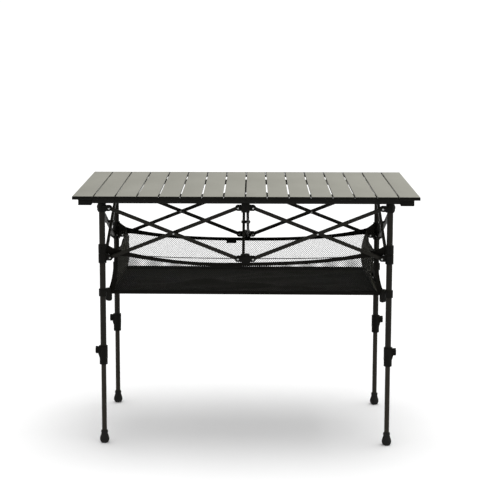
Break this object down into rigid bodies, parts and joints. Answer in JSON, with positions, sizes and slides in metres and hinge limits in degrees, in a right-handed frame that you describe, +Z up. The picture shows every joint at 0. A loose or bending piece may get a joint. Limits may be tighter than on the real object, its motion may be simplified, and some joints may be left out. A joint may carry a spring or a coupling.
{
  "type": "folding camp kitchen table",
  "caption": "Folding camp table: roll-up slatted top on rails, scissor frame, telescoping legs with clamp knobs and a fabric storage basket.",
  "frame": {"origin": "on the ground, under the middle of the table top", "axes": "+X along the length, to the right seen from the front; -Y to the front; +Z up"},
  "size_m": [0.95, 0.55, 0.72],
  "materials": {
    "slat_aluminium": "warm grey anodised, satin",
    "painted_tube": "dark olive-black powder coat on aluminium tube",
    "painted_bar": "dark olive-black powder coat on aluminium bar",
    "black_plastic": "moulded, fine grain",
    "fabric": "woven polyester floor and ends, mesh front and back"
  },
  "bodies": {
    "centre_frame": {"front_upper_hub": "black_plastic"},
    "front_lower_hub": {"front_lower_hub": "black_plastic", "basket": "fabric"},
    "back_upper_hub": {"back_upper_hub": "black_plastic"},
    "back_lower_hub": {"back_lower_hub": "black_plastic"},
    "front_left_outer_bar": {"front_left_outer_bar": "painted_bar"},
    "front_left_inner_bar": {"front_left_inner_bar": "painted_bar"},
    "front_right_outer_bar": {"front_right_outer_bar": "painted_bar"},
    "front_right_inner_bar": {"front_right_inner_bar": "painted_bar"},
    "back_left_outer_bar": {"back_left_outer_bar": "painted_bar"},
    "back_left_inner_bar": {"back_left_inner_bar": "painted_bar"},
    "back_right_outer_bar": {"back_right_outer_bar": "painted_bar"},
    "back_right_inner_bar": {"back_right_inner_bar": "painted_bar"},
    "left_cross_front_bar": {"left_cross_front_bar": "painted_bar"},
    "left_cross_back_bar": {"left_cross_back_bar": "painted_bar"},
    "centre_cross_front_bar": {"centre_cross_front_bar": "painted_bar"},
    "centre_cross_back_bar": {"centre_cross_back_bar": "painted_bar"},
    "right_cross_front_bar": {"right_cross_front_bar": "painted_bar"},
    "right_cross_back_bar": {"right_cross_back_bar": "painted_bar"},
    "front_left_leg": {"front_left_leg_tube": "painted_tube", "front_left_leg_fittings": "black_plastic"},
    "front_left_slider": {"front_left_slider": "black_plastic"},
    "front_left_basket_ring": {"front_left_basket_ring": "black_plastic"},
    "front_left_knob": {"front_left_knob": "black_plastic"},
    "front_left_inner_leg": {"front_left_inner_leg": "painted_tube"},
    "front_right_leg": {"front_right_leg_tube": "painted_tube", "front_right_leg_fittings": "black_plastic"},
    "front_right_slider": {"front_right_slider": "black_plastic"},
    "front_right_basket_ring": {"front_right_basket_ring": "black_plastic"},
    "front_right_knob": {"front_right_knob": "black_plastic"},
    "front_right_inner_leg": {"front_right_inner_leg": "painted_tube"},
    "back_left_leg": {"back_left_leg_tube": "painted_tube", "back_left_leg_fittings": "black_plastic"},
    "back_left_slider": {"back_left_slider": "black_plastic"},
    "back_left_basket_ring": {"back_left_basket_ring": "black_plastic"},
    "back_left_knob": {"back_left_knob": "black_plastic"},
    "back_left_inner_leg": {"back_left_inner_leg": "painted_tube"},
    "back_right_leg": {"back_right_leg_tube": "painted_tube", "back_right_leg_fittings": "black_plastic"},
    "back_right_slider": {"back_right_slider": "black_plastic"},
    "back_right_basket_ring": {"back_right_basket_ring": "black_plastic"},
    "back_right_knob": {"back_right_knob": "black_plastic"},
    "back_right_inner_leg": {"back_right_inner_leg": "painted_tube"},
    "top_base": {"top_rails": "painted_tube", "slat_01": "slat_aluminium"},
    "slat_02": {"slat_02": "slat_aluminium"},
    "slat_03": {"slat_03": "slat_aluminium"},
    "slat_04": {"slat_04": "slat_aluminium"},
    "slat_05": {"slat_05": "slat_aluminium"},
    "slat_06": {"slat_06": "slat_aluminium"},
    "slat_07": {"slat_07": "slat_aluminium"},
    "slat_08": {"slat_08": "slat_aluminium"},
    "slat_09": {"slat_09": "slat_aluminium"},
    "slat_10": {"slat_10": "slat_aluminium"},
    "slat_11": {"slat_11": "slat_aluminium"},
    "slat_12": {"slat_12": "slat_aluminium"},
    "slat_13": {"slat_13": "slat_aluminium"},
    "slat_14": {"slat_14": "slat_aluminium"},
    "slat_15": {"slat_15": "slat_aluminium"},
    "slat_16": {"slat_16": "slat_aluminium"}
  },
  "joints": [
    {"name": "frame_fold", "type": "hinge", "parent": "centre_frame", "child": "front_left_inner_bar", "pos_m": [-0.021, -0.1945, 0.678], "axis": [0, -1, 0], "range_deg": [0, 45], "deforming": ["basket"]},
    {"name": "front_left_slider_turn", "type": "hinge", "parent": "front_left_inner_bar", "child": "front_left_slider", "pos_m": [-0.38, -0.1945, 0.536], "axis": [0, -1, 0], "range_deg": [-45, 0]},
    {"name": "front_left_outer_bar_turn", "type": "hinge", "parent": "front_left_inner_bar", "child": "front_left_outer_bar", "pos_m": [-0.2005, -0.1945, 0.607], "axis": [0, -1, 0], "range_deg": [-90, 0]},
    {"name": "front_left_leg_turn", "type": "hinge", "parent": "front_left_outer_bar", "child": "front_left_leg", "pos_m": [-0.38, -0.2065, 0.678], "axis": [0, -1, 0], "range_deg": [0, 45]},
    {"name": "front_lower_hub_turn", "type": "hinge", "parent": "front_left_outer_bar", "child": "front_lower_hub", "pos_m": [-0.021, -0.2065, 0.536], "axis": [0, -1, 0], "range_deg": [0, 45]},
    {"name": "front_right_inner_bar_turn", "type": "hinge", "parent": "centre_frame", "child": "front_right_inner_bar", "pos_m": [0.021, -0.1945, 0.678], "axis": [0, 1, 0], "range_deg": [0, 45]},
    {"name": "front_right_slider_turn", "type": "hinge", "parent": "front_right_inner_bar", "child": "front_right_slider", "pos_m": [0.38, -0.1945, 0.536], "axis": [0, 1, 0], "range_deg": [-45, 0]},
    {"name": "front_right_outer_bar_turn", "type": "hinge", "parent": "front_right_inner_bar", "child": "front_right_outer_bar", "pos_m": [0.2005, -0.1945, 0.607], "axis": [0, 1, 0], "range_deg": [-90, 0]},
    {"name": "front_right_leg_turn", "type": "hinge", "parent": "front_right_outer_bar", "child": "front_right_leg", "pos_m": [0.38, -0.2065, 0.678], "axis": [0, 1, 0], "range_deg": [0, 45]},
    {"name": "centre_cross_front_bar_turn", "type": "hinge", "parent": "centre_frame", "child": "centre_cross_front_bar", "pos_m": [0.006, -0.1795, 0.678], "axis": [-1, 0, 0], "range_deg": [0, 45]},
    {"name": "back_lower_hub_turn", "type": "hinge", "parent": "centre_cross_front_bar", "child": "back_lower_hub", "pos_m": [0.006, 0.1795, 0.536], "axis": [-1, 0, 0], "range_deg": [-45, 0]},
    {"name": "centre_cross_back_bar_turn", "type": "hinge", "parent": "centre_cross_front_bar", "child": "centre_cross_back_bar", "pos_m": [0, 0, 0.607], "axis": [-1, 0, 0], "range_deg": [-90, 0]},
    {"name": "back_upper_hub_turn", "type": "hinge", "parent": "centre_cross_back_bar", "child": "back_upper_hub", "pos_m": [-0.006, 0.1795, 0.678], "axis": [-1, 0, 0], "range_deg": [0, 45]},
    {"name": "back_left_inner_bar_turn", "type": "hinge", "parent": "back_upper_hub", "child": "back_left_inner_bar", "pos_m": [-0.021, 0.1945, 0.678], "axis": [0, -1, 0], "range_deg": [0, 45]},
    {"name": "back_left_slider_turn", "type": "hinge", "parent": "back_left_inner_bar", "child": "back_left_slider", "pos_m": [-0.38, 0.1945, 0.536], "axis": [0, -1, 0], "range_deg": [-45, 0]},
    {"name": "back_left_outer_bar_turn", "type": "hinge", "parent": "back_left_inner_bar", "child": "back_left_outer_bar", "pos_m": [-0.2005, 0.1945, 0.607], "axis": [0, -1, 0], "range_deg": [-90, 0]},
    {"name": "back_left_leg_turn", "type": "hinge", "parent": "back_left_outer_bar", "child": "back_left_leg", "pos_m": [-0.38, 0.2065, 0.678], "axis": [0, -1, 0], "range_deg": [0, 45]},
    {"name": "back_right_inner_bar_turn", "type": "hinge", "parent": "back_upper_hub", "child": "back_right_inner_bar", "pos_m": [0.021, 0.1945, 0.678], "axis": [0, 1, 0], "range_deg": [0, 45]},
    {"name": "back_right_slider_turn", "type": "hinge", "parent": "back_right_inner_bar", "child": "back_right_slider", "pos_m": [0.38, 0.1945, 0.536], "axis": [0, 1, 0], "range_deg": [-45, 0]},
    {"name": "back_right_outer_bar_turn", "type": "hinge", "parent": "back_right_inner_bar", "child": "back_right_outer_bar", "pos_m": [0.2005, 0.1945, 0.607], "axis": [0, 1, 0], "range_deg": [-90, 0]},
    {"name": "back_right_leg_turn", "type": "hinge", "parent": "back_right_outer_bar", "child": "back_right_leg", "pos_m": [0.38, 0.2065, 0.678], "axis": [0, 1, 0], "range_deg": [0, 45]},
    {"name": "left_cross_front_bar_turn", "type": "hinge", "parent": "front_left_leg", "child": "left_cross_front_bar", "pos_m": [-0.407, -0.1795, 0.678], "axis": [-1, 0, 0], "range_deg": [0, 45]},
    {"name": "left_cross_back_bar_turn", "type": "hinge", "parent": "left_cross_front_bar", "child": "left_cross_back_bar", "pos_m": [-0.401, 0, 0.607], "axis": [-1, 0, 0], "range_deg": [-90, 0]},
    {"name": "right_cross_front_bar_turn", "type": "hinge", "parent": "front_right_leg", "child": "right_cross_front_bar", "pos_m": [0.407, -0.1795, 0.678], "axis": [-1, 0, 0], "range_deg": [0, 45]},
    {"name": "right_cross_back_bar_turn", "type": "hinge", "parent": "right_cross_front_bar", "child": "right_cross_back_bar", "pos_m": [0.401, 0, 0.607], "axis": [-1, 0, 0], "range_deg": [-90, 0]},
    {"name": "front_left_ring_slide", "type": "slide", "parent": "front_left_leg", "child": "front_left_basket_ring", "axis": [0, 0, -1], "range_m": [-0.00001, 0.14281]},
    {"name": "front_left_leg_extension", "type": "slide", "parent": "front_left_leg", "child": "front_left_inner_leg", "axis": [0, 0, 1], "range_m": [0, 0.185]},
    {"name": "front_left_knob_turn", "type": "hinge", "parent": "front_left_leg", "child": "front_left_knob", "pos_m": [-0.421, -0.2005, 0.2712], "axis": [-1, 0, 0], "range_deg": [0, 360]},
    {"name": "front_right_ring_slide", "type": "slide", "parent": "front_right_leg", "child": "front_right_basket_ring", "axis": [0, 0, -1], "range_m": [-0.00001, 0.14281]},
    {"name": "front_right_leg_extension", "type": "slide", "parent": "front_right_leg", "child": "front_right_inner_leg", "axis": [0, 0, 1], "range_m": [0, 0.185]},
    {"name": "front_right_knob_turn", "type": "hinge", "parent": "front_right_leg", "child": "front_right_knob", "pos_m": [0.421, -0.2005, 0.2712], "axis": [1, 0, 0], "range_deg": [0, 360]},
    {"name": "back_left_ring_slide", "type": "slide", "parent": "back_left_leg", "child": "back_left_basket_ring", "axis": [0, 0, -1], "range_m": [-0.00001, 0.14281]},
    {"name": "back_left_leg_extension", "type": "slide", "parent": "back_left_leg", "child": "back_left_inner_leg", "axis": [0, 0, 1], "range_m": [0, 0.185]},
    {"name": "back_left_knob_turn", "type": "hinge", "parent": "back_left_leg", "child": "back_left_knob", "pos_m": [-0.421, 0.2005, 0.2712], "axis": [-1, 0, 0], "range_deg": [0, 360]},
    {"name": "back_right_ring_slide", "type": "slide", "parent": "back_right_leg", "child": "back_right_basket_ring", "axis": [0, 0, -1], "range_m": [-0.00001, 0.14281]},
    {"name": "back_right_leg_extension", "type": "slide", "parent": "back_right_leg", "child": "back_right_inner_leg", "axis": [0, 0, 1], "range_m": [0, 0.185]},
    {"name": "back_right_knob_turn", "type": "hinge", "parent": "back_right_leg", "child": "back_right_knob", "pos_m": [0.421, 0.2005, 0.2712], "axis": [1, 0, 0], "range_deg": [0, 360]},
    {"name": "top_lift", "type": "slide", "parent": "centre_frame", "child": "top_base", "axis": [0, 0, 1], "range_m": [0, 0.25]},
    {"name": "slat_02_roll", "type": "hinge", "parent": "top_base", "child": "slat_02", "pos_m": [-0.41737, 0, 0.72], "axis": [0, -1, 0], "range_deg": [0, 32.8]},
    {"name": "slat_03_roll", "type": "hinge", "parent": "slat_02", "child": "slat_03", "pos_m": [-0.35775, 0, 0.72], "axis": [0, -1, 0], "range_deg": [0, 33.8]},
    {"name": "slat_04_roll", "type": "hinge", "parent": "slat_03", "child": "slat_04", "pos_m": [-0.29812, 0, 0.72], "axis": [0, -1, 0], "range_deg": [0, 34.8]},
    {"name": "slat_05_roll", "type": "hinge", "parent": "slat_04", "child": "slat_05", "pos_m": [-0.2385, 0, 0.72], "axis": [0, -1, 0], "range_deg": [0, 35.9]},
    {"name": "slat_06_roll", "type": "hinge", "parent": "slat_05", "child": "slat_06", "pos_m": [-0.17888, 0, 0.72], "axis": [0, -1, 0], "range_deg": [0, 37.1]},
    {"name": "slat_07_roll", "type": "hinge", "parent": "slat_06", "child": "slat_07", "pos_m": [-0.11925, 0, 0.72], "axis": [0, -1, 0], "range_deg": [0, 38.5]},
    {"name": "slat_08_roll", "type": "hinge", "parent": "slat_07", "child": "slat_08", "pos_m": [-0.05962, 0, 0.72], "axis": [0, -1, 0], "range_deg": [0, 40]},
    {"name": "slat_09_roll", "type": "hinge", "parent": "slat_08", "child": "slat_09", "pos_m": [0, 0, 0.72], "axis": [0, -1, 0], "range_deg": [0, 41.8]},
    {"name": "slat_10_roll", "type": "hinge", "parent": "slat_09", "child": "slat_10", "pos_m": [0.05962, 0, 0.72], "axis": [0, -1, 0], "range_deg": [0, 43.8]},
    {"name": "slat_11_roll", "type": "hinge", "parent": "slat_10", "child": "slat_11", "pos_m": [0.11925, 0, 0.72], "axis": [0, -1, 0], "range_deg": [0, 46.1]},
    {"name": "slat_12_roll", "type": "hinge", "parent": "slat_11", "child": "slat_12", "pos_m": [0.17888, 0, 0.72], "axis": [0, -1, 0], "range_deg": [0, 48.9]},
    {"name": "slat_13_roll", "type": "hinge", "parent": "slat_12", "child": "slat_13", "pos_m": [0.2385, 0, 0.72], "axis": [0, -1, 0], "range_deg": [0, 52.2]},
    {"name": "slat_14_roll", "type": "hinge", "parent": "slat_13", "child": "slat_14", "pos_m": [0.29812, 0, 0.72], "axis": [0, -1, 0], "range_deg": [0, 56.5]},
    {"name": "slat_15_roll", "type": "hinge", "parent": "slat_14", "child": "slat_15", "pos_m": [0.35775, 0, 0.72], "axis": [0, -1, 0], "range_deg": [0, 62.1]},
    {"name": "slat_16_roll", "type": "hinge", "parent": "slat_15", "child": "slat_16", "pos_m": [0.41737, 0, 0.72], "axis": [0, -1, 0], "range_deg": [0, 70]}
  ],
  "couplings": [
    {"joint": "front_left_slider_turn", "follows": "frame_fold", "ratio": -1},
    {"joint": "front_left_outer_bar_turn", "follows": "frame_fold", "ratio": -2},
    {"joint": "front_left_leg_turn", "follows": "frame_fold", "ratio": 1},
    {"joint": "front_lower_hub_turn", "follows": "frame_fold", "ratio": 1},
    {"joint": "front_right_inner_bar_turn", "follows": "frame_fold", "ratio": 1},
    {"joint": "front_right_slider_turn", "follows": "frame_fold", "ratio": -1},
    {"joint": "front_right_outer_bar_turn", "follows": "frame_fold", "ratio": -2},
    {"joint": "front_right_leg_turn", "follows": "frame_fold", "ratio": 1},
    {"joint": "centre_cross_front_bar_turn", "follows": "frame_fold", "ratio": 1},
    {"joint": "back_lower_hub_turn", "follows": "frame_fold", "ratio": -1},
    {"joint": "centre_cross_back_bar_turn", "follows": "frame_fold", "ratio": -2},
    {"joint": "back_upper_hub_turn", "follows": "frame_fold", "ratio": 1},
    {"joint": "back_left_inner_bar_turn", "follows": "frame_fold", "ratio": 1},
    {"joint": "back_left_slider_turn", "follows": "frame_fold", "ratio": -1},
    {"joint": "back_left_outer_bar_turn", "follows": "frame_fold", "ratio": -2},
    {"joint": "back_left_leg_turn", "follows": "frame_fold", "ratio": 1},
    {"joint": "back_right_inner_bar_turn", "follows": "frame_fold", "ratio": 1},
    {"joint": "back_right_slider_turn", "follows": "frame_fold", "ratio": -1},
    {"joint": "back_right_outer_bar_turn", "follows": "frame_fold", "ratio": -2},
    {"joint": "back_right_leg_turn", "follows": "frame_fold", "ratio": 1},
    {"joint": "left_cross_front_bar_turn", "follows": "frame_fold", "ratio": 1},
    {"joint": "left_cross_back_bar_turn", "follows": "frame_fold", "ratio": -2},
    {"joint": "right_cross_front_bar_turn", "follows": "frame_fold", "ratio": 1},
    {"joint": "right_cross_back_bar_turn", "follows": "frame_fold", "ratio": -2},
    {"joint": "front_left_ring_slide", "follows": "frame_fold", "m_per_rad": 0.18182},
    {"joint": "front_right_ring_slide", "follows": "frame_fold", "m_per_rad": 0.18182},
    {"joint": "back_left_ring_slide", "follows": "frame_fold", "m_per_rad": 0.18182},
    {"joint": "back_right_ring_slide", "follows": "frame_fold", "m_per_rad": 0.18182}
  ]
}
